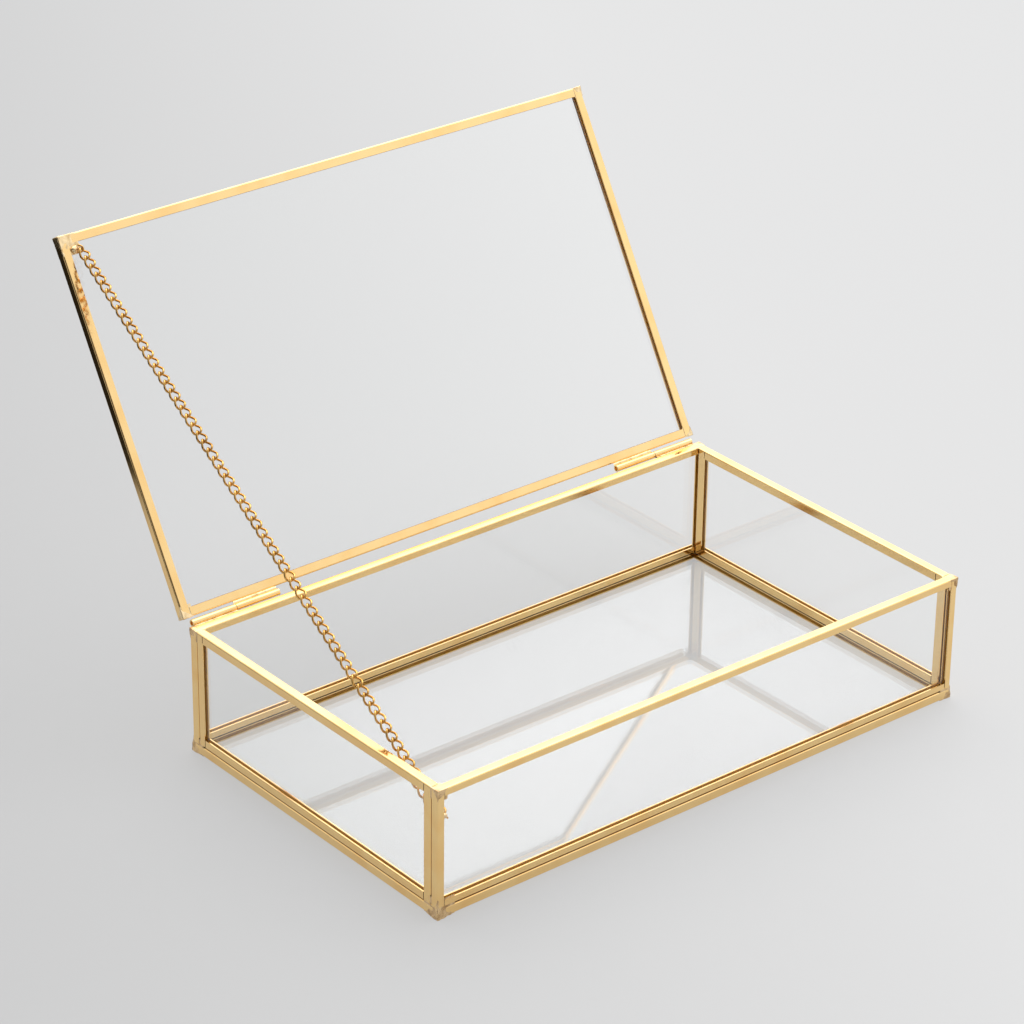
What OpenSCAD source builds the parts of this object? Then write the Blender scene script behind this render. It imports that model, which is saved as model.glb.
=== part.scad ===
// Glass card box: six framed panes, a hinged lid and a curb chain that stops the lid.
// Corner frame: x to the right, y to the back, z up, from the front left bottom outer corner.
// Every node is then shifted so that the origin is the middle of the front foot strip's underside.

/* [Case] */
// Outside width of the case, left to right
case_w = 300; // [240:5:360]
// Outside depth of the case, front to back
case_d = 176; // [150:2:210]
// Height of the case without its lid
case_h = 62.4; // [58:0.2:90]
// Gap between two framed panes where they meet
pane_gap = 0.4; // [0.2:0.1:0.8]

/* [Glass and channel] */
// Thickness of every glass pane
glass_t = 3; // [2:0.5:4]
// Clearance between the glass and each lip of its channel
glass_fit = 0.2; // [0.05:0.05:0.4]
// Clearance between the glass edge and the channel's web
glass_edge_gap = 0.4; // [0.1:0.1:1]
// Thickness of the brass sheet that the channels are folded from
sheet_t = 0.6; // [0.4:0.1:0.8]
// Outside radius of the channel's folds
fold_r = 0.8; // [0.5:0.1:1]
// Width of the channel lips on the front and back panes
front_lip = 3.4; // [3:0.1:5]
// Width of the channel lips on the left, right and bottom panes
side_lip = 4.2; // [3:0.1:5]
// Slot left between a lip that is cut short and the strip it meets
butt_gap = 0.4; // [0.2:0.1:1]

/* [Lid] */
// How far the lid reaches past the front of the case
lid_overhang = 0.8; // [0:0.2:2]
// Width of the channel lips on the lid
lid_lip = 4.2; // [3:0.1:5]
// Gap under the closed lid
lid_gap = 0.5; // [0.4:0.1:0.8]
// Angle of the lid from closed, where the chain stops it
open_angle = 120.3; // [110:0.1:125]

/* [Hinges] */
// Outside radius of the hinge knuckles
knuckle_r = 1.6; // [1.4:0.1:1.8]
// Radius of the hinge pins
pin_r = 1; // [0.8:0.1:1.1]
// Radial running clearance of the pin in the lid's knuckle
pin_fit = 0.05; // [0.02:0.01:0.09]
// Length of each knuckle
knuckle_l = 23.5; // [16:0.5:30]
// Distance from the side of the case to its outer knuckle
knuckle_inset = 3; // [2:0.5:8]
// Gap between two knuckles on one pin
knuckle_gap = 0.3; // [0.2:0.1:0.6]
// Distance of the hinge axis behind the case
hinge_out = 2.8; // [2.5:0.1:3.2]
// How far each pin end lies inside its knuckle
pin_recess = 1.5; // [0.5:0.5:3]

/* [Chain] */
// Diameter of the chain wire
wire_d = 0.85; // [0.75:0.05:0.9]
// Distance from one link to the next, before the chain is fitted to its length
link_pitch = 4.65; // [4.6:0.05:4.75]
// Radius of the bow at each end of a link
bow_r = 1.75; // [1.7:0.05:1.8]
// Free play between two links that pull on each other
link_play = 0.2; // [0.15:0.05:0.25]
// Twist of each link end out of the chain's flat
link_twist = 40; // [36:1:42]
// Distance of the chain's plane from the left side of the case
chain_x = 8.9; // [8.8:0.1:9.2]
// Distance of the chain's lower end from the front of the case
low_end_y = 9.5; // [9.4:0.1:10]
// Depth of the chain's lower end under the rim
low_end_drop = 17.8; // [17.5:0.1:18.5]
// Distance of the chain's upper end from the front of the closed case
high_end_y = 7.5; // [7.5:0.1:8]
// Depth of the chain's upper end under the closed lid
high_end_drop = 1.7; // [1.7:0.1:1.9]
// Radius of the bow of the eye on the case
case_eye_r = 1.6; // [1.5:0.05:1.7]
// Radius of the bow of the eye on the lid
lid_eye_r = 1.4; // [1.35:0.05:1.45]
// Free play between an eye and its link
eye_play = 0.5; // [0.4:0.05:0.6]

/* [Solder] */
// Thickness of the solder skin on the sides of the corners
skin_t = 0.35; // [0.2:0.05:0.5]
// Thickness of the solder skin between the lid and the rim
rim_skin = 0.2; // [0.05:0.05:0.2]
// Reach of the solder along each edge at the bottom corners
foot_reach = 6; // [5.5:0.5:8]
// Reach of the solder along each edge at the rim and lid corners
rim_reach = 4; // [3:0.5:6]
// Reach of the solder cap that holds the chain's upper eye
cap_reach = 7; // [6:0.5:8]
// Radius of the solder bead that holds the case's eye
case_bead_r = 2; // [1.8:0.1:2.2]
// Radius of the solder bead that holds the lid's eye
lid_bead_r = 1.6; // [1.5:0.05:1.65]

/* [Hidden] */
$fn = 48;

brass = [0.84, 0.69, 0.42];
solder_gold = [0.76, 0.62, 0.38];
chain_gold = [0.80, 0.58, 0.30];
clear_glass = [0.82, 0.90, 0.90, 0.35];

// Thickness of a framed pane
pane_t = glass_t + 2 * glass_fit + 2 * sheet_t;
// Height at which the four side panes stand on the bottom pane's frame
side_z = pane_t + pane_gap;
side_h = case_h - side_z;
// The left and right panes stand between the front and back panes
end_y = pane_t + pane_gap;
end_l = case_d - 2 * end_y;
lid_d = case_d + lid_overhang;
lid_y = -lid_overhang;
lid_z = case_h + lid_gap;
hinge_y = case_d + hinge_out;
hinge_z = case_h;

// A point of the closed lid, turned about the hinge to where the open lid holds it
function opened(p) = [p.x,
    hinge_y + (p.y - hinge_y) * cos(open_angle) + (p.z - hinge_z) * sin(open_angle),
    hinge_z - (p.y - hinge_y) * sin(open_angle) + (p.z - hinge_z) * cos(open_angle)];

// Points that the chain's first and last links turn on
low_end = [chain_x, low_end_y, case_h - low_end_drop];
lid_end = [chain_x, high_end_y, lid_z - high_end_drop];
high_end = opened(lid_end);
chain_l = norm(high_end - low_end);
link_count = round(chain_l / link_pitch);
pitch = chain_l / link_count;
chain_step = (high_end - low_end) / link_count;
chain_rise = atan2(high_end.z - low_end.z, high_end.y - low_end.y);
// Half the length of a link's centre line, and where its bows are centred
half_link = (pitch + wire_d + link_play) / 2;
bow_x = half_link - bow_r;
// Links in each rigid run of the chain. The run along the front takes up a change of length.
drop_links = 6;
back_links = 22;
rise_links = 13;
// Index of the first link of each run, counted from the case
drop_at = 1;
floor_at = drop_at + drop_links;
back_at = floor_at + 2;
turn_at = back_at + back_links;
front_at = turn_at + 5;
rise_at = link_count - rise_links;
bend_at = rise_at - 1;

// Direction and roll of each eye, and the length of its two legs
case_eye_dir = [45, 15, 70];
lid_eye_dir = [30, 30, 45];
case_eye_leg = 2.2;
lid_eye_leg = 1.6;

// ---------- shared shapes ----------

// Shift from the corner frame to the origin under the front foot strip
module placed() {
    translate([-case_w / 2, -pane_t / 2, 0]) children();
}

// The closed lid turned open about the hinge axis
module lid_opened() {
    translate([0, hinge_y, hinge_z]) rotate([-open_angle, 0, 0])
        translate([0, -hinge_y, -hinge_z]) children();
}

// Section of a folded channel: web along x, lips along y
module channel_section(lip) {
    difference() {
        union() {
            translate([0, fold_r]) square([pane_t, lip - fold_r]);
            translate([fold_r, 0]) square([pane_t - 2 * fold_r, fold_r + 0.1]);
            translate([fold_r, fold_r]) circle(fold_r);
            translate([pane_t - fold_r, fold_r]) circle(fold_r);
        }
        translate([sheet_t, sheet_t]) square([pane_t - 2 * sheet_t, lip]);
    }
}

// Channel along x under a pane's lower edge. Its web runs the full length and its lips stop short.
module rail(length, lip) {
    cut = lip + butt_gap;
    difference() {
        translate([0, 0, pane_t]) rotate([0, 90, 0]) linear_extrude(length) channel_section(lip);
        for (x = [-1, length - cut])
            translate([x, sheet_t, -1]) cube([cut + 1, lip + 1, pane_t + 2]);
    }
}

// Channel along y on a pane's left edge, between the webs of the two rails
module post(height, lip) {
    translate([0, sheet_t, 0]) rotate([-90, -90, 0])
        linear_extrude(height - 2 * sheet_t) channel_section(lip);
}

module far_rail(length, height, lip) {
    translate([0, height, 0]) mirror([0, 1, 0]) rail(length, lip);
}

module far_post(length, height, lip) {
    translate([length, 0, 0]) mirror([1, 0, 0]) post(height, lip);
}

// Glass of a framed pane, inside its channels
module glass(length, height) {
    inset = sheet_t + glass_edge_gap;
    translate([inset, inset, sheet_t + glass_fit])
        cube([length - 2 * inset, height - 2 * inset, glass_t]);
}

// Places of the six framed panes
module front_place() {
    placed() translate([0, pane_t, side_z]) rotate([90, 0, 0]) children();
}

module back_place() {
    placed() translate([0, case_d, side_z]) rotate([90, 0, 0]) children();
}

module left_place() {
    placed() translate([0, end_y, side_z]) rotate([90, 0, 90]) children();
}

module right_place() {
    placed() translate([case_w - pane_t, end_y, side_z]) rotate([90, 0, 90]) children();
}

module lid_place() {
    placed() lid_opened() translate([0, lid_y, lid_z]) children();
}

// Four corners of a rectangle, each mirrored so that its corner is the origin
module at_corners(length, depth) {
    for (mx = [0, 1], my = [0, 1])
        translate([mx * length, my * depth, 0]) mirror([mx, 0, 0]) mirror([0, my, 0]) children();
}

// Solder skin round the outside of a corner: two sides, and the top side where top_t is more than 0
module corner_skin(reach, side_t, top_t) {
    centre = reach * 0.35;
    intersection() {
        difference() {
            translate([-side_t, -side_t, -reach]) cube([reach, reach, reach + top_t]);
            translate([0, 0, -2 * reach]) cube([2 * reach, 2 * reach, 2 * reach]);
        }
        translate([centre, centre, -centre]) sphere(reach * 0.78);
    }
}

// ---------- framed panes ----------

module bottom_glass() color(clear_glass) placed() glass(case_w, case_d);
module bottom_front_strip() color(brass) placed() rail(case_w, side_lip);
module bottom_back_strip() color(brass) placed() far_rail(case_w, case_d, side_lip);
module bottom_left_strip() color(brass) placed() post(case_d, side_lip);
module bottom_right_strip() color(brass) placed() far_post(case_w, case_d, side_lip);

module front_glass() color(clear_glass) front_place() glass(case_w, side_h);
module front_top_strip() color(brass) front_place() far_rail(case_w, side_h, front_lip);
module front_bottom_strip() color(brass) front_place() rail(case_w, front_lip);
module front_left_strip() color(brass) front_place() post(side_h, front_lip);
module front_right_strip() color(brass) front_place() far_post(case_w, side_h, front_lip);

module back_glass() color(clear_glass) back_place() glass(case_w, side_h);
module back_top_strip() color(brass) back_place() far_rail(case_w, side_h, front_lip);
module back_bottom_strip() color(brass) back_place() rail(case_w, front_lip);
module back_left_strip() color(brass) back_place() post(side_h, front_lip);
module back_right_strip() color(brass) back_place() far_post(case_w, side_h, front_lip);

module left_glass() color(clear_glass) left_place() glass(end_l, side_h);
module left_top_strip() color(brass) left_place() far_rail(end_l, side_h, side_lip);
module left_bottom_strip() color(brass) left_place() rail(end_l, side_lip);
module left_front_strip() color(brass) left_place() post(side_h, side_lip);
module left_back_strip() color(brass) left_place() far_post(end_l, side_h, side_lip);

module right_glass() color(clear_glass) right_place() glass(end_l, side_h);
module right_top_strip() color(brass) right_place() far_rail(end_l, side_h, side_lip);
module right_bottom_strip() color(brass) right_place() rail(end_l, side_lip);
module right_front_strip() color(brass) right_place() post(side_h, side_lip);
module right_back_strip() color(brass) right_place() far_post(end_l, side_h, side_lip);

module lid_glass() color(clear_glass) lid_place() glass(case_w, lid_d);
module lid_front_strip() color(brass) lid_place() rail(case_w, lid_lip);
module lid_back_strip() color(brass) lid_place() far_rail(case_w, lid_d, lid_lip);
module lid_left_strip() color(brass) lid_place() post(lid_d, lid_lip);
module lid_right_strip() color(brass) lid_place() far_post(case_w, lid_d, lid_lip);

// ---------- hinges ----------

// Start of each knuckle along the hinge axis, measured from its own side of the case
case_knuckle_x = knuckle_inset;
lid_knuckle_x = knuckle_inset + knuckle_l + knuckle_gap;

// Cylinder on the hinge axis, on the left hinge or mirrored onto the right one
module on_hinge(right, start, length, radius) {
    translate([right ? case_w : 0, hinge_y, hinge_z]) mirror([right ? 1 : 0, 0, 0])
        translate([start, 0, 0]) rotate([0, 90, 0]) cylinder(length, radius, radius);
}

module knuckle(right, start, bore_r) {
    difference() {
        on_hinge(right, start, knuckle_l, knuckle_r);
        on_hinge(right, start - 1, knuckle_l + 2, bore_r);
    }
}

module left_case_knuckle() color(brass) placed() knuckle(false, case_knuckle_x, pin_r);
module right_case_knuckle() color(brass) placed() knuckle(true, case_knuckle_x, pin_r);

module left_lid_knuckle()
    color(brass) placed() lid_opened() knuckle(false, lid_knuckle_x, pin_r + pin_fit);

module right_lid_knuckle()
    color(brass) placed() lid_opened() knuckle(true, lid_knuckle_x, pin_r + pin_fit);

module hinge_pin(right)
    on_hinge(right, knuckle_inset + pin_recess,
        2 * knuckle_l + knuckle_gap - 2 * pin_recess, pin_r);

module left_hinge_pin() color(brass) placed() hinge_pin(false);
module right_hinge_pin() color(brass) placed() hinge_pin(true);

// Solder fillet between a knuckle and the web in front of it, from low_z to high_z above the axis
module knuckle_seat(start, low_z, high_z) {
    for (right = [false, true])
        difference() {
            translate([right ? case_w - start - knuckle_l : start, case_d, hinge_z + low_z])
                cube([knuckle_l, hinge_out - 0.2, high_z - low_z]);
            on_hinge(right, start - 1, knuckle_l + 2, knuckle_r);
        }
}

// ---------- chain ----------

// Half ring of wire that bows towards +x, in the xy plane
module bow(radius) {
    rotate([0, 0, -90]) rotate_extrude(angle = 180) translate([radius, 0]) circle(wire_d / 2);
}

// One twisted link along x, centred at the origin
module chain_link() {
    flat_y = bow_r * cos(link_twist);
    flat_z = bow_r * sin(link_twist);
    side_l = norm([bow_x, flat_z]) * 2;
    for (end = [1, -1]) {
        rotate([end * link_twist, 0, 0]) translate([end * bow_x, 0, 0])
            rotate([0, 0, end > 0 ? 0 : 180]) bow(bow_r);
        translate([0, end * flat_y, 0]) rotate([0, atan2(bow_x, end * flat_z), 0])
            cylinder(side_l, wire_d / 2, wire_d / 2, center = true);
        for (side = [1, -1])
            translate([end * bow_x, side * flat_y, end * side * flat_z]) sphere(wire_d * 0.53);
    }
}

// Links on the straight line from the case's eye to the lid's eye
module chain_run(first, count) {
    color(chain_gold) placed() for (i = [first : first + count - 1])
        translate(low_end + (i + 0.5) * chain_step) rotate([chain_rise, 0, 0])
            rotate([180, 0, 90]) chain_link();
}

// Wire bow with two legs that a link turns in, at the point it turns on
module eye_wire(point, turn, radius, leg) {
    past = (wire_d + eye_play) / 2 - radius;
    translate(point) rotate([0, turn.y, turn.z]) rotate([turn.x, 0, 0]) {
        translate([past, 0, 0]) bow(radius);
        for (side = [1, -1])
            translate([past - leg, side * radius, 0]) rotate([0, 90, 0])
                cylinder(leg, wire_d / 2, wire_d / 2);
    }
}

module case_eye_wire() eye_wire(low_end, case_eye_dir, case_eye_r, case_eye_leg);
module lid_eye_wire() eye_wire(lid_end, lid_eye_dir, lid_eye_r, lid_eye_leg);

module case_chain_eye() color(chain_gold) placed() case_eye_wire();
module lid_chain_eye() color(chain_gold) placed() lid_opened() lid_eye_wire();

module chain_first_link() chain_run(0, 1);
module chain_drop_run() chain_run(drop_at, drop_links);
module chain_floor_bend_1() chain_run(floor_at, 1);
module chain_floor_bend_2() chain_run(floor_at + 1, 1);
module chain_back_run() chain_run(back_at, back_links);
module chain_turn_1() chain_run(turn_at, 1);
module chain_turn_2() chain_run(turn_at + 1, 1);
module chain_turn_3() chain_run(turn_at + 2, 1);
module chain_turn_4() chain_run(turn_at + 3, 1);
module chain_turn_5() chain_run(turn_at + 4, 1);
module chain_front_run() chain_run(front_at, bend_at - front_at);
module chain_rise_bend() chain_run(bend_at, 1);
module chain_rise_run() chain_run(rise_at, rise_links);

// ---------- solder ----------

// Bead inside the front left corner, on the left pane's post
module case_bead() {
    difference() {
        union() {
            translate([pane_t + case_bead_r * 0.7, low_end.y - 2.8, low_end.z + 0.6])
                sphere(case_bead_r);
            translate([low_end.x - 1.2, low_end.y - 2.8, low_end.z + 0.8])
                sphere(case_bead_r * 0.75);
        }
        translate([pane_t - 10, 0, low_end.z - 10]) cube([10, 20, 20]);
        case_eye_wire();
    }
}

// Bead and cap at the front left corner of the closed lid
module lid_bead() {
    difference() {
        translate([lid_end.x - 2.3, lid_end.y - 0.9, lid_z - 0.4]) sphere(lid_bead_r);
        translate([0, 0, lid_z]) cube(20);
        lid_eye_wire();
    }
}

// Flat cap of solder on the lid's face that the eye's bead sits on
module lid_cap() {
    intersection() {
        cube([cap_reach, cap_reach, rim_skin]);
        translate([pane_t / 2, pane_t / 2, 0]) sphere(cap_reach - pane_t / 2);
    }
}

module case_solder() color(solder_gold) placed() {
    intersection() {
        at_corners(case_w, case_d) mirror([0, 0, 1]) corner_skin(foot_reach, skin_t, 0);
        translate([-skin_t, -skin_t, 0]) cube([case_w * 2, case_d * 2, case_h]);
    }
    translate([0, 0, case_h]) at_corners(case_w, case_d)
        corner_skin(rim_reach, rim_skin, rim_skin);
    knuckle_seat(case_knuckle_x, -1.5, -0.4);
    case_bead();
}

module lid_solder() color(solder_gold) placed() lid_opened() {
    translate([0, lid_y, lid_z]) at_corners(case_w, lid_d) mirror([0, 0, 1])
        corner_skin(rim_reach, rim_skin, rim_skin);
    translate([0, lid_y, lid_z]) mirror([0, 0, 1]) lid_cap();
    knuckle_seat(lid_knuckle_x, 0.8, 1.5);
    lid_bead();
}

bottom_glass();
bottom_front_strip();
bottom_back_strip();
bottom_left_strip();
bottom_right_strip();
front_glass();
front_top_strip();
front_bottom_strip();
front_left_strip();
front_right_strip();
back_glass();
back_top_strip();
back_bottom_strip();
back_left_strip();
back_right_strip();
left_glass();
left_top_strip();
left_bottom_strip();
left_front_strip();
left_back_strip();
right_glass();
right_top_strip();
right_bottom_strip();
right_front_strip();
right_back_strip();
lid_glass();
lid_front_strip();
lid_back_strip();
lid_left_strip();
lid_right_strip();
case_solder();
lid_solder();
left_case_knuckle();
right_case_knuckle();
left_lid_knuckle();
right_lid_knuckle();
left_hinge_pin();
right_hinge_pin();
case_chain_eye();
lid_chain_eye();
chain_first_link();
chain_drop_run();
chain_floor_bend_1();
chain_floor_bend_2();
chain_back_run();
chain_turn_1();
chain_turn_2();
chain_turn_3();
chain_turn_4();
chain_turn_5();
chain_front_run();
chain_rise_bend();
chain_rise_run();
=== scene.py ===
"""A clear glass card box in brass channel, its hinged lid held open by a curb chain."""

import math

import bmesh
import bpy
from mathutils import Matrix, Vector, noise
from mathutils.bvhtree import BVHTree


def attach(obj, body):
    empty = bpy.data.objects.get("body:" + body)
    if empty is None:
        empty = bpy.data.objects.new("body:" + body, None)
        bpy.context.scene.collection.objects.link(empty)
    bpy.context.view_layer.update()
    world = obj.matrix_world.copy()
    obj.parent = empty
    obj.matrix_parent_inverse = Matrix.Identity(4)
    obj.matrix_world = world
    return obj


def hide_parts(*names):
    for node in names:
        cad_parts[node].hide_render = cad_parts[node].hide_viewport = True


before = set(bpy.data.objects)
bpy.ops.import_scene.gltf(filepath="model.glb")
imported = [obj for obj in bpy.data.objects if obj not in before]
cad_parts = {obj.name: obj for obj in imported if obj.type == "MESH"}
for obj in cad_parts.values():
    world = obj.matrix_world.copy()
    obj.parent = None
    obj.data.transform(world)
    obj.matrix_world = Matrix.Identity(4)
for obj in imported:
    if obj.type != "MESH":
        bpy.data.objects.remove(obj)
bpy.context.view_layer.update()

# Places and sizes in metres, in the frame's own axes.
CASE_W, CASE_D, CASE_H = 0.300, 0.176, 0.0624
PANE_T = 0.0046
LEFT = -CASE_W / 2
FRONT = -PANE_T / 2
HINGE = Vector((0, FRONT + CASE_D + 0.0028, CASE_H))
LID_ANGLE = math.radians(120.3)
LID_UNDERSIDE = CASE_H + 0.0005
LID_FRONT = FRONT - 0.0008
BACK = FRONT + CASE_D
KNUCKLE_L = 0.0235
KNUCKLE_INSET = 0.003
KNUCKLE_GAP = 0.0003

CHAIN_LOW = Vector((LEFT + 0.0089, FRONT + 0.0095, CASE_H - 0.0178))
CHAIN_HIGH_CLOSED = Vector((LEFT + 0.0089, FRONT + 0.0075, LID_UNDERSIDE - 0.0017))
LINK_COUNT = 65
WIRE_R = 0.0005
BOW_R = 0.0021
LINK_PLAY = 0.0002
CHAIN_RUNS = [
    ("chain_first_link", 1),
    ("chain_drop_run", 6),
    ("chain_floor_bend_1", 1),
    ("chain_floor_bend_2", 1),
    ("chain_back_run", 22),
    ("chain_turn_1", 1),
    ("chain_turn_2", 1),
    ("chain_turn_3", 1),
    ("chain_turn_4", 1),
    ("chain_turn_5", 1),
    ("chain_front_run", 15),
    ("chain_rise_bend", 1),
    ("chain_rise_run", 13),
]

BRASS_TINT = (0.94, 0.66, 0.30, 1)
BRASS_WARM = (0.90, 0.54, 0.19, 1)
CHAIN_TINT = (0.86, 0.52, 0.17, 1)
# Dark brass: the tarnish tint of the wire, and also its specular tint, which paints shade on the wire's
# grazing edges.
CHAIN_TARNISH_AND_EDGE_SHADE = (0.30, 0.14, 0.025, 1)
SOLDER_TINT = (0.80, 0.57, 0.31, 1)
STUDIO_GREY = 0.70
PAPER = 0.66

# World directions, and how bright the room is towards each of them.
WINDOW_WAY, WINDOW_LEVEL = (0.62, 0.66, 0.42), 2.0
SIDE_GLOW_WAY, SIDE_GLOW = (0.80, -0.52, 0.42), 0.42
DARK_SIDE_WAY, DARK_SHARE = (-0.62, -0.66, 0.42), 0.06
ROOM_LEVEL = 0.80
# The way the painted light on the paper grows brighter, and the way to where it ends.
PAPER_LIT_WAY = (0.90, -0.48, 0)
PAPER_END_WAY = (-0.68, 0.73, 0)

CAMERA_LENS_MM = 136.447
CAMERA_PLACE = (-0.99364, -1.06698, 0.89214)
CAMERA_TURN_DEG = (62.7137, -0.6290, -39.2890)

# Each corner's solder, in the order front left, back left, front right, back right.
CORNERS = ((0, 0), (0, 1), (1, 0), (1, 1))
FOOT_REACH = (0.0074, 0.0062, 0.0050, 0.0048)
FOOT_THICK = (0.00065, 0.00045, 0.00032, 0.00032)
RIM_REACH, RIM_THICK = 0.0042, 0.00017
LID_REACH = (0.0076, 0.0046, 0.0038, 0.0038)
LID_THICK, LID_DEPTH = 0.0002, 0.0044

# The solder round a knuckle, as (distance behind the case, height over the hinge axis, loose or held).
CASE_FILLET = (
    (-0.0001, -0.0022, 1),
    (0.0007, -0.0017, 1),
    (0.0019, -0.0016, 1),
    (0.0019, -0.0010, 0),
    (0.0014, -0.0002, 0),
    (-0.0001, -0.0002, 0),
)
LID_FILLET = (
    (-0.0001, 0.0023, 1),
    (0.0007, 0.0018, 1),
    (0.0019, 0.0017, 1),
    (0.0019, 0.0012, 0),
    (0.0014, 0.0007, 0),
    (-0.0001, 0.0007, 0),
)


def open_with_lid(point):
    """A point of the closed lid, where the open lid holds it."""
    turn = Matrix.Rotation(-LID_ANGLE, 3, "X")
    return HINGE + turn @ (point - HINGE)


def where_made(point):
    """A point of the case, which stands as it was made."""
    return point


# ---------- camera ----------


def set_camera():
    data = bpy.data.cameras.new("studio_camera")
    data.sensor_width = 36
    data.lens = CAMERA_LENS_MM
    camera = bpy.data.objects.new("studio_camera", data)
    camera.location = CAMERA_PLACE
    camera.rotation_euler = [math.radians(turn) for turn in CAMERA_TURN_DEG]
    bpy.context.scene.collection.objects.link(camera)
    bpy.context.scene.camera = camera


# ---------- shader node helpers ----------


def new_group(name, inputs, outputs):
    """An empty shader node group. Inputs are (name, kind, default), outputs (name, kind)."""
    group = bpy.data.node_groups.new(name, "ShaderNodeTree")
    for label, kind, default in inputs:
        socket = group.interface.new_socket(label, in_out="INPUT", socket_type=kind)
        socket.default_value = default
    for label, kind in outputs:
        group.interface.new_socket(label, in_out="OUTPUT", socket_type=kind)
    return group, group.nodes.new("NodeGroupInput"), group.nodes.new("NodeGroupOutput")


def noise_node(tree, vector, scale, detail=3.0):
    node = tree.nodes.new("ShaderNodeTexNoise")
    node.inputs["Scale"].default_value = scale
    node.inputs["Detail"].default_value = detail
    tree.links.new(vector, node.inputs["Vector"])
    return node.outputs["Fac"]


def remap(tree, value, low, high, to_low, to_high):
    node = tree.nodes.new("ShaderNodeMapRange")
    for socket, number in zip(node.inputs[1:5], (low, high, to_low, to_high)):
        if hasattr(number, "is_output"):
            tree.links.new(number, socket)
        else:
            socket.default_value = number
    tree.links.new(value, node.inputs[0])
    return node.outputs[0]


def math_node(tree, operation, a, b):
    node = tree.nodes.new("ShaderNodeMath")
    node.operation = operation
    for socket, value in zip(node.inputs, (a, b)):
        if hasattr(value, "is_output"):
            tree.links.new(value, socket)
        else:
            socket.default_value = value
    return node.outputs[0]


def mix_colour(tree, mask, first, second):
    node = tree.nodes.new("ShaderNodeMix")
    node.data_type = "RGBA"
    if hasattr(mask, "is_output"):
        tree.links.new(mask, node.inputs[0])
    else:
        node.inputs[0].default_value = mask
    for socket, value in zip((node.inputs[6], node.inputs[7]), (first, second)):
        if hasattr(value, "is_output"):
            tree.links.new(value, socket)
        else:
            socket.default_value = value
    return node.outputs[2]


def drawn_lines_group():
    """Fine lines that the drawing of the brass leaves along a strip, with cloudy plating over them."""
    group, given, made = new_group(
        "drawn_lines",
        [
            ("Along", "NodeSocketVector", (1, 1, 1)),
            ("Tint", "NodeSocketColor", BRASS_TINT),
            ("Deep Tint", "NodeSocketColor", BRASS_WARM),
            ("Polish", "NodeSocketFloat", 0.12),
        ],
        [("Color", "NodeSocketColor"), ("Roughness", "NodeSocketFloat"), ("Height", "NodeSocketFloat")],
    )
    place = group.nodes.new("ShaderNodeTexCoord").outputs["Object"]
    stretch = group.nodes.new("ShaderNodeVectorMath")
    stretch.operation = "MULTIPLY"
    group.links.new(place, stretch.inputs[0])
    group.links.new(given.outputs["Along"], stretch.inputs[1])
    lines = noise_node(group, stretch.outputs[0], 1600, 2)
    clouds = noise_node(group, place, 70, 4)
    specks = noise_node(group, place, 900, 2)
    tarnish = remap(group, clouds, 0.42, 0.72, 0.0, 0.55)
    colour = mix_colour(group, tarnish, given.outputs["Tint"], given.outputs["Deep Tint"])
    group.links.new(colour, made.inputs["Color"])
    rough = remap(group, lines, 0.3, 0.7, 0.75, 1.35)
    rough = math_node(group, "MULTIPLY", rough, given.outputs["Polish"])
    rough = math_node(group, "ADD", rough, remap(group, specks, 0.6, 0.75, 0.0, 0.08))
    group.links.new(rough, made.inputs["Roughness"])
    group.links.new(lines, made.inputs["Height"])
    return group


def lumps_group():
    """Cooled solder: soft lumps, fine pits and dull patches."""
    group, given, made = new_group(
        "solder_lumps",
        [
            ("Tint", "NodeSocketColor", SOLDER_TINT),
            ("Burnt Tint", "NodeSocketColor", (0.36, 0.19, 0.07, 1)),
            ("Lump Size", "NodeSocketFloat", 500.0),
        ],
        [("Color", "NodeSocketColor"), ("Roughness", "NodeSocketFloat"), ("Height", "NodeSocketFloat")],
    )
    place = group.nodes.new("ShaderNodeTexCoord").outputs["Object"]
    lumps = noise_node(group, place, 1.0, 2)
    group.links.new(given.outputs["Lump Size"], lumps.node.inputs["Scale"])
    pits = noise_node(group, place, 2600, 2)
    burnt = remap(group, noise_node(group, place, 320, 3), 0.45, 0.68, 0.0, 0.8)
    colour = mix_colour(group, burnt, given.outputs["Tint"], given.outputs["Burnt Tint"])
    group.links.new(colour, made.inputs["Color"])
    group.links.new(remap(group, pits, 0.3, 0.7, 0.22, 0.42), made.inputs["Roughness"])
    height = math_node(group, "ADD", lumps, math_node(group, "MULTIPLY", pits, 0.25))
    group.links.new(height, made.inputs["Height"])
    return group


def new_material(name):
    material = bpy.data.materials.new(name)
    material.use_nodes = True
    return material, material.node_tree, material.node_tree.nodes["Principled BSDF"]


def metal_from(name, group, values, bump, bump_distance):
    """A metal whose colour, roughness and height come from one of the surface groups."""
    material, tree, shader = new_material(name)
    surface = tree.nodes.new("ShaderNodeGroup")
    surface.node_tree = group
    for label, value in values.items():
        surface.inputs[label].default_value = value
    shader.inputs["Metallic"].default_value = 1
    tree.links.new(surface.outputs["Color"], shader.inputs["Base Color"])
    tree.links.new(surface.outputs["Roughness"], shader.inputs["Roughness"])
    height = tree.nodes.new("ShaderNodeBump")
    height.inputs["Strength"].default_value = bump
    height.inputs["Distance"].default_value = bump_distance
    tree.links.new(surface.outputs["Height"], height.inputs["Height"])
    tree.links.new(height.outputs["Normal"], shader.inputs["Normal"])
    return material


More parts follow.
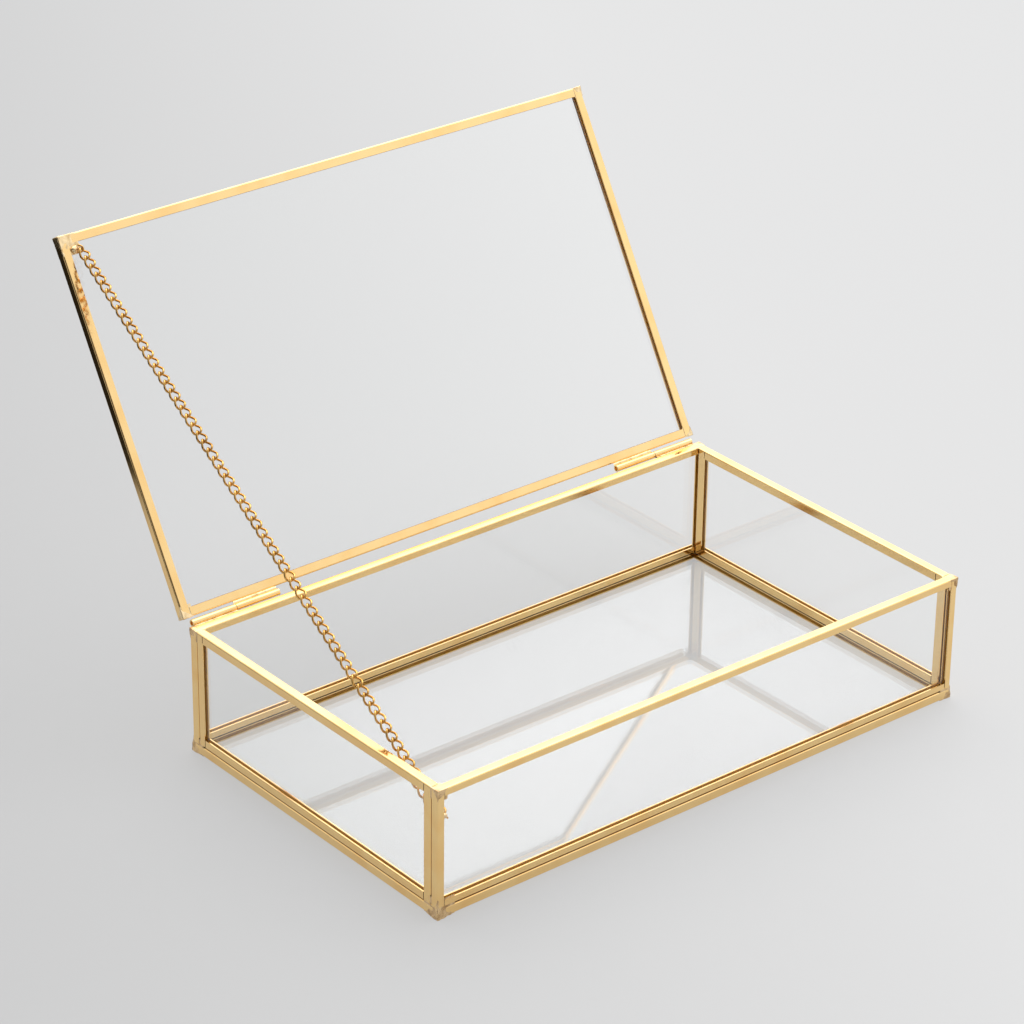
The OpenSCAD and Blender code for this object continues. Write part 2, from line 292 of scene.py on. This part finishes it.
def clear_glass():
    """Float glass, faintly green, with a trace of polish marks."""
    material, tree, shader = new_material("clear_glass")
    place = tree.nodes.new("ShaderNodeTexCoord").outputs["Object"]
    smears = remap(tree, noise_node(tree, place, 18, 4), 0.55, 0.8, 0.0, 0.012)
    tree.links.new(smears, shader.inputs["Roughness"])
    tint = remap(tree, noise_node(tree, place, 6, 2), 0.3, 0.7, 0.0, 1.0)
    colour = mix_colour(tree, tint, (1.0, 1.0, 1.0, 1), (0.992, 0.998, 0.995, 1))
    tree.links.new(colour, shader.inputs["Base Color"])
    shader.inputs["Transmission Weight"].default_value = 1
    shader.inputs["IOR"].default_value = 1.5
    return material


def channel_inside_painted_sheen():
    """The unpolished inside of a channel, in a saturated amber that is painted reflection: it stands in for
    the warm light bouncing between the brass walls, seen where light comes to it through the glass.
    """
    material, tree, shader = new_material("channel_inside_painted_sheen")
    place = tree.nodes.new("ShaderNodeTexCoord").outputs["Object"]
    stain = remap(tree, noise_node(tree, place, 260, 4), 0.35, 0.7, 0.0, 1.0)
    # saturated amber: painted reflection of light bouncing inside the brass channel, over a random stain
    colour = mix_colour(tree, stain, (1.0, 0.50, 0.035, 1), (0.90, 0.38, 0.02, 1))
    tree.links.new(colour, shader.inputs["Base Color"])
    shader.inputs["Metallic"].default_value = 0
    shader.inputs["Roughness"].default_value = 0.6
    shader.inputs["Specular IOR Level"].default_value = 0.15
    return material


def line_channel(name, material):
    """Gives the faces of a strip that look onto the glass the channel's inside, with its painted amber
    reflection.
    """
    pane = name.split("_")[0]
    across = {"bottom": 2, "lid": 2, "front": 1, "back": 1, "left": 0, "right": 0}[pane]
    turn = Matrix.Rotation(LID_ANGLE if pane == "lid" else 0, 3, "X")
    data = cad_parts[name].data
    data.materials.append(material)
    points = [turn @ (v.co - HINGE) for v in data.vertices]
    low = [min(p[k] for p in points) for k in range(3)]
    high = [max(p[k] for p in points) for k in range(3)]
    middle = (low[across] + high[across]) / 2
    for face in data.polygons:
        centre = turn @ (face.center - HINGE)
        way = turn @ face.normal
        side = centre[across] - middle
        main = max(range(3), key=lambda k: abs(way[k]))
        if main == across:
            hidden = side * way[across] < -0.00001
        else:
            edge = high[main] if way[main] > 0 else low[main]
            hidden = abs(side) < 0.001 and abs(centre[main] - edge) > 0.0001
        face.material_index = 1 if hidden else 0


def seam_shade_and_flux():
    """Painted shade with some flux and dust: a near-black colour for the faces in the narrow seams between
    neighbouring strips, where shade falls.
    """
    material, tree, shader = new_material("seam_shade_and_flux")
    place = tree.nodes.new("ShaderNodeTexCoord").outputs["Object"]
    patch = remap(tree, noise_node(tree, place, 300, 3), 0.35, 0.7, 0.0, 1.0)
    # near-black seam colour: painted shade in the narrow gaps, with a little flux and dust
    colour = mix_colour(tree, patch, (0.035, 0.018, 0.006, 1), (0.11, 0.06, 0.02, 1))
    tree.links.new(colour, shader.inputs["Base Color"])
    shader.inputs["Metallic"].default_value = 0.2
    shader.inputs["Roughness"].default_value = 0.7
    return material


def darken_seams(material):
    """Gives the faces of two strips that look at each other across a narrow seam their painted shade and
    flux.
    """
    strips = {name: node.data for name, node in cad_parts.items() if name.endswith("_strip")}
    trees = {
        name: BVHTree.FromPolygons(
            [v.co for v in data.vertices], [tuple(face.vertices) for face in data.polygons]
        )
        for name, data in strips.items()
    }
    for name, data in strips.items():
        data.materials.append(material)
        for face in data.polygons:
            start = face.center + face.normal * 0.00002
            for other, tree in trees.items():
                if other != name and tree.ray_cast(start, face.normal, 0.0006)[0] is not None:
                    face.material_index = 2
                    break


def use(material, *nodes):
    """Gives CAD nodes their material."""
    for name in nodes:
        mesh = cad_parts[name].data
        mesh.materials.clear()
        mesh.materials.append(material)


# ---------- solder ----------


def lump(point, size, seed):
    """Smooth unevenness between -1 and 1, with features of the given size."""
    return 1.6 * noise.noise(Vector((seed * 7.31, seed * 3.7, seed)) + point / size)


def add_sheet(mesh, rows, placed):
    """Joins rows of points into one sheet of faces."""
    grid = [[mesh.verts.new(placed(p)) for p in row] for row in rows]
    for near, far in zip(grid, grid[1:]):
        for k in range(len(near) - 1):
            mesh.faces.new((near[k], near[k + 1], far[k + 1], far[k])).smooth = True


def corner_solder(mesh, corner, inward, reach, thick, seed, placed, lid_side=True, depth=1.0):
    """Solder that has flowed over a corner: thick at the corner, thin and ragged where it stops."""
    steps = 22
    fall = 1.25 * reach / steps
    sheets = [(0, 1, 2), (1, 0, 2)] + ([(2, 0, 1)] if lid_side else [])
    for flat, first, second in sheets:
        rows = []
        for i in range(steps + 1):
            row = []
            for j in range(steps + 1):
                local = Vector((0, 0, 0))
                local[first], local[second] = i * fall, j * fall
                past = local.z > depth
                local.z = min(local.z, depth)
                ragged = reach * (1 + 0.30 * lump(local, 0.0022, seed))
                run = (abs(local[first]) ** 1.1 + abs(local[second]) ** 1.1) ** (1 / 1.1) / ragged
                rise = thick * (1 - run**2.2) * (1 + 0.35 * lump(local, 0.0011, seed + 2))
                rise = -0.00012 if past else max(rise, -0.00012)
                out = Vector((0, 0, 0))
                out[flat] = 1
                for axis in (first, second):
                    if lid_side or axis != 2:
                        out[axis] = max(0.0, 1 - local[axis] / 0.0007) ** 2
                if not lid_side:
                    local.z += 0.00005
                row.append(corner + Vector(n * (l - rise * o) for n, l, o in zip(inward, local, out)))
            rows.append(row)
        add_sheet(mesh, rows, placed)


def bead(mesh, centre, radius, seed, placed, squash=(1, 1, 1)):
    """A blob of solder that has set round something small."""
    made = bmesh.ops.create_icosphere(mesh, subdivisions=4, radius=1)
    for vert in made["verts"]:
        way = vert.co.normalized()
        swell = radius * (1 + 0.16 * lump(way * radius, 0.0013, seed))
        vert.co = placed(centre + Vector(swell * w * q for w, q in zip(way, squash)))
    for face in {f for v in made["verts"] for f in v.link_faces}:
        face.smooth = True


def hinge_fillet(mesh, start, outline, seed, placed):
    """The run of solder that holds a knuckle to the strip behind it."""
    steps = 60
    rows = []
    for i in range(steps + 1):
        share = i / steps
        x = start + share * KNUCKLE_L
        swell = 1 - 0.55 * max(0.0, 1 - share * 12, 1 - (1 - share) * 12)
        row = []
        for y, z, loose in outline:
            wave = 0.00022 * loose * lump(Vector((x, y, z)), 0.0021, seed)
            spread = swell if loose else 1
            row.append(Vector((x, BACK + y * spread, HINGE.z + z * spread + wave)))
        rows.append(row + row[:1])
    add_sheet(mesh, rows, placed)


def add_solder(name, body, mesh, material, node):
    bmesh.ops.remove_doubles(mesh, verts=mesh.verts, dist=0.000001)
    bmesh.ops.recalc_face_normals(mesh, faces=mesh.faces)
    data = bpy.data.meshes.new(name)
    mesh.to_mesh(data)
    mesh.free()
    data.materials.append(material)
    piece = bpy.data.objects.new(name, data)
    bpy.context.scene.collection.objects.link(piece)
    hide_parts(node)
    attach(piece, body)
    return piece


def solder_case(material):
    mesh = bmesh.new()
    for k, (right, back) in enumerate(CORNERS):
        inward = (-1 if right else 1, -1 if back else 1, 1)
        foot = Vector((LEFT + right * CASE_W, FRONT + back * CASE_D, 0))
        corner_solder(mesh, foot, inward, FOOT_REACH[k], FOOT_THICK[k], k + 1, where_made, lid_side=False)
        rim = Vector((foot.x, foot.y, CASE_H))
        corner_solder(mesh, rim, (*inward[:2], -1), RIM_REACH, RIM_THICK, k + 11, where_made)
    for start in (LEFT + KNUCKLE_INSET, -LEFT - KNUCKLE_INSET - KNUCKLE_L):
        hinge_fillet(mesh, start, CASE_FILLET, 21, where_made)
    seat = Vector((LEFT + PANE_T, CHAIN_LOW.y - 0.0028, CHAIN_LOW.z + 0.0006))
    bead(mesh, seat + Vector((0.0011, 0, 0)), 0.0017, 31, where_made, (0.9, 1.1, 1.2))
    bead(mesh, Vector((CHAIN_LOW.x - 0.0012, seat.y, seat.z + 0.0002)), 0.0012, 32, where_made)
    return add_solder("case_solder_beads", "case", mesh, material, "case_solder")


def solder_lid(material):
    mesh = bmesh.new()
    for k, (right, back) in enumerate(CORNERS):
        inward = (-1 if right else 1, -1 if back else 1, 1)
        corner = Vector((LEFT + right * CASE_W, BACK if back else LID_FRONT, LID_UNDERSIDE))
        corner_solder(mesh, corner, inward, LID_REACH[k], LID_THICK, k + 41, open_with_lid, depth=LID_DEPTH)
    inset = KNUCKLE_INSET + KNUCKLE_L + KNUCKLE_GAP
    for start in (LEFT + inset, -LEFT - inset - KNUCKLE_L):
        hinge_fillet(mesh, start, LID_FILLET, 51, open_with_lid)
    seat = CHAIN_HIGH_CLOSED + Vector((-0.0023, -0.0009, 0.0017 - 0.0004))
    bead(mesh, seat, 0.0014, 61, open_with_lid, (1.35, 1.2, 0.6))
    return add_solder("lid_solder_beads", "lid", mesh, material, "lid_solder")


# ---------- chain ----------


def link_path(half_link, steps):
    """Centre line of one curb link along x: an oval that twists between its two ends."""
    for k in range(steps):
        turn = 2 * math.pi * k / steps
        along = math.cos(turn)
        reach = half_link * math.copysign(abs(along) ** 0.85, along)
        twist = math.radians(44) * math.sin(math.pi / 2 * along)
        side = BOW_R * math.copysign(abs(math.sin(turn)) ** 0.8, math.sin(turn))
        yield Vector((reach, side * math.cos(twist), side * math.sin(twist)))


def add_link(mesh, place, half_link, steps=28, around=8):
    """Sweeps round wire along a link's centre line."""
    path = [place @ p for p in link_path(half_link, steps)]
    out = place.to_3x3() @ Vector((0, 0, 1))
    rings = []
    for k, centre in enumerate(path):
        ahead = (path[(k + 1) % steps] - path[k - 1]).normalized()
        side = ahead.cross(out).normalized()
        up = side.cross(ahead)
        ring = []
        for j in range(around):
            a = 2 * math.pi * j / around
            ring.append(mesh.verts.new(centre + WIRE_R * (math.cos(a) * side + math.sin(a) * up)))
        rings.append(ring)
    for k in range(steps):
        for j in range(around):
            near, far = rings[k], rings[(k + 1) % steps]
            mesh.faces.new((near[j], near[(j + 1) % around], far[(j + 1) % around], far[j])).smooth = True


def make_chain(material):
    high = open_with_lid(CHAIN_HIGH_CLOSED)
    step = (high - CHAIN_LOW) / LINK_COUNT
    half_link = (step.length + 2 * WIRE_R + LINK_PLAY) / 2
    rise = math.atan2(step.z, step.y)
    flat = Matrix.Rotation(math.pi / 2, 4, "Z") @ Matrix.Rotation(math.pi, 4, "X")
    lie = Matrix.Rotation(rise, 4, "X") @ flat
    first = 0
    for run, count in CHAIN_RUNS:
        mesh = bmesh.new()
        for i in range(first, first + count):
            add_link(mesh, Matrix.Translation(CHAIN_LOW + (i + 0.5) * step) @ lie, half_link)
        first += count
        data = bpy.data.meshes.new(run + "_links")
        mesh.to_mesh(data)
        mesh.free()
        data.materials.append(material)
        links = bpy.data.objects.new(run + "_links", data)
        bpy.context.scene.collection.objects.link(links)
        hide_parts(run)
        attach(links, run)


# ---------- studio ----------


def floor_material():
    """Pale paper that ends, for what the metal mirrors, in the dark of the studio far behind on the left."""
    material, tree, shader = new_material("pale_paper")
    shader.inputs["Roughness"].default_value = 0.9
    shader.inputs["Specular IOR Level"].default_value = 0.1
    place = tree.nodes.new("ShaderNodeNewGeometry").outputs["Position"]
    grain = remap(tree, noise_node(tree, place, 3, 3), 0.3, 0.7, 0.0, 1.0)
    across = tree.nodes.new("ShaderNodeVectorMath")
    across.operation = "DOT_PRODUCT"
    across.inputs[1].default_value = PAPER_LIT_WAY
    tree.links.new(place, across.inputs[0])
    # painted light: the paper and the grey it shows are lighter towards the right as seen from the camera,
    # darker towards the left, a painted fall of light
    lit_side = remap(tree, across.outputs["Value"], -0.36, 0.12, 0.0, 1.0)
    worn = remap(tree, grain, 0.0, 1.0, 0.97, 1.0)
    paper = mix_colour(tree, lit_side, (*[PAPER * 0.86] * 3, 1), (*[PAPER * 1.04] * 3, 1))
    paper = mix_colour(tree, worn, (*[PAPER * 0.8] * 3, 1), paper)
    show = mix_colour(tree, lit_side, (*[STUDIO_GREY * 0.80] * 3, 1), (*[STUDIO_GREY * 1.04] * 3, 1))
    tree.links.new(paper, shader.inputs["Base Color"])

    away = tree.nodes.new("ShaderNodeVectorMath")
    away.operation = "DOT_PRODUCT"
    away.inputs[1].default_value = PAPER_END_WAY
    tree.links.new(place, away.inputs[0])
    paper_end = remap(tree, away.outputs["Value"], 0.43, 0.50, 0.0, 1.0)
    path = tree.nodes.new("ShaderNodeLightPath")
    mirrored = math_node(tree, "SUBTRACT", path.outputs["Is Glossy Ray"], path.outputs["Is Transmission Ray"])
    mirrored = math_node(tree, "MAXIMUM", mirrored, 0.0)
    in_metal = math_node(tree, "MULTIPLY", mirrored, paper_end)
    shown = math_node(tree, "MAXIMUM", path.outputs["Is Camera Ray"], path.outputs["Is Glossy Ray"])
    shown = math_node(tree, "MAXIMUM", shown, path.outputs["Is Transmission Ray"])
    even = tree.nodes.new("ShaderNodeEmission")
    tree.links.new(mix_colour(tree, in_metal, show, (0.02, 0.018, 0.015, 1)), even.inputs["Color"])
    share = math_node(tree, "MAXIMUM", math_node(tree, "MULTIPLY", shown, 0.72), in_metal)
    mix = tree.nodes.new("ShaderNodeMixShader")
    tree.links.new(share, mix.inputs[0])
    tree.links.new(shader.outputs[0], mix.inputs[1])
    tree.links.new(even.outputs[0], mix.inputs[2])
    tree.links.new(mix.outputs[0], tree.nodes["Material Output"].inputs["Surface"])
    return material


def make_floor():
    mesh = bmesh.new()
    bmesh.ops.create_grid(mesh, x_segments=1, y_segments=1, size=15)
    data = bpy.data.meshes.new("studio_floor")
    mesh.to_mesh(data)
    mesh.free()
    data.materials.append(floor_material())
    floor = bpy.data.objects.new("studio_floor", data)
    bpy.context.scene.collection.objects.link(floor)


def area_lamp(name, place, aim, size, watts):
    data = bpy.data.lights.new(name, "AREA")
    data.shape = "DISK"
    data.size = size
    data.energy = watts
    lamp = bpy.data.objects.new(name, data)
    lamp.location = place
    lamp.rotation_euler = (Vector(aim) - Vector(place)).to_track_quat("-Z", "Y").to_euler()
    bpy.context.scene.collection.objects.link(lamp)
    return lamp


def toward(tree, direction, start, full):
    """How far a world direction lies towards the given one, from 0 to 1."""
    way = tree.nodes.new("ShaderNodeTexCoord").outputs["Generated"]
    dot = tree.nodes.new("ShaderNodeVectorMath")
    dot.operation = "DOT_PRODUCT"
    dot.inputs[1].default_value = Vector(direction).normalized()
    tree.links.new(way, dot.inputs[0])
    return remap(tree, dot.outputs["Value"], start, full, 0.0, 1.0)


def light_studio():
    """A grey room with a large bright window behind on the right, and a dark side behind the camera."""
    world = bpy.data.worlds.new("studio_world")
    bpy.context.scene.world = world
    world.use_nodes = True
    tree = world.node_tree
    room = tree.nodes["Background"]
    level = remap(tree, toward(tree, WINDOW_WAY, 0.45, 0.85), 0, 1, ROOM_LEVEL, WINDOW_LEVEL)
    glow = remap(tree, toward(tree, SIDE_GLOW_WAY, 0.84, 0.98), 0, 1, 0.0, SIDE_GLOW)
    level = math_node(tree, "ADD", level, glow)
    shade = remap(tree, toward(tree, DARK_SIDE_WAY, 0.74, 0.92), 0, 1, 1.0, DARK_SHARE)
    level = math_node(tree, "MULTIPLY", level, shade)
    room.inputs["Color"].default_value = (0.985, 0.99, 1.0, 1)
    tree.links.new(level, room.inputs["Strength"])
    seen = tree.nodes.new("ShaderNodeBackground")
    seen.inputs["Color"].default_value = (STUDIO_GREY, STUDIO_GREY, STUDIO_GREY * 1.015, 1)
    path = tree.nodes.new("ShaderNodeLightPath")
    mix = tree.nodes.new("ShaderNodeMixShader")
    tree.links.new(path.outputs["Is Camera Ray"], mix.inputs[0])
    tree.links.new(room.outputs[0], mix.inputs[1])
    tree.links.new(seen.outputs[0], mix.inputs[2])
    tree.links.new(mix.outputs[0], tree.nodes["World Output"].inputs[0])
    area_lamp("high_softbox", (0.5, 0.6, 2.0), (0, 0.08, 0.05), 2.8, 22)


# ---------- the box ----------


def finish_case():
    lines = drawn_lines_group()
    strip_runs = {
        "brass_across": (0.03, 1, 1),
        "brass_deep": (1, 0.03, 1),
        "brass_upright": (1, 1, 0.03),
    }
    brass = {
        name: metal_from(name, lines, {"Along": along}, 0.05, 0.0001)
        for name, along in strip_runs.items()
    }
    for pane in ("bottom", "front", "back", "lid"):
        for edge in (("front", "back") if pane in ("bottom", "lid") else ("top", "bottom")):
            use(brass["brass_across"], f"{pane}_{edge}_strip")
    for pane in ("left", "right"):
        use(brass["brass_deep"], f"{pane}_top_strip", f"{pane}_bottom_strip", f"bottom_{pane}_strip")
        use(brass["brass_upright"], f"{pane}_front_strip", f"{pane}_back_strip")
        use(brass["brass_upright"], f"front_{pane}_strip", f"back_{pane}_strip")
        use(brass["brass_deep"], f"lid_{pane}_strip")
        use(brass["brass_across"], f"{pane}_case_knuckle", f"{pane}_lid_knuckle", f"{pane}_hinge_pin")
    inside = channel_inside_painted_sheen()
    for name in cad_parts:
        if name.endswith("_strip"):
            line_channel(name, inside)
    darken_seams(seam_shade_and_flux())
    glass = clear_glass()
    for pane in ("bottom", "front", "back", "left", "right", "lid"):
        use(glass, f"{pane}_glass")
    lumps = lumps_group()
    solder = metal_from("gold_solder", lumps, {}, 0.5, 0.0004)
    smooth_look = {"Tint": (0.93, 0.72, 0.42, 1), "Burnt Tint": (0.62, 0.40, 0.17, 1), "Lump Size": 350.0}
    smooth_solder = metal_from("smooth_gold_solder", lumps, smooth_look, 0.25, 0.0004)
    use(solder, "case_solder")
    use(smooth_solder, "lid_solder")
    solder_case(solder)
    solder_lid(smooth_solder)
    wire_look = {"Along": (1, 1, 1), "Tint": CHAIN_TINT, "Deep Tint": CHAIN_TARNISH_AND_EDGE_SHADE, "Polish": 0.09}
    wire = metal_from("chain_wire", lines, wire_look, 0.04, 0.0001)
    # A dark specular tint darkens the wire's grazing edges: painted shade for the dark outlines of the links.
    wire.node_tree.nodes["Principled BSDF"].inputs["Specular Tint"].default_value = CHAIN_TARNISH_AND_EDGE_SHADE
    use(wire, "case_chain_eye", "lid_chain_eye")
    make_chain(wire)


def round_folds():
    """A fine bevel on the cut edges of the strips, so that they catch the light."""
    for name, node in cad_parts.items():
        if name.endswith("_strip") or name.endswith("_knuckle"):
            bevel = node.modifiers.new("cut_edges", "BEVEL")
            bevel.width = 0.00026
            bevel.segments = 3
            bevel.limit_method = "ANGLE"
            bevel.angle_limit = math.radians(40)
            bevel.harden_normals = True


set_camera()
make_floor()
light_studio()
finish_case()
round_folds()
bpy.context.scene.view_settings.view_transform = "Standard"
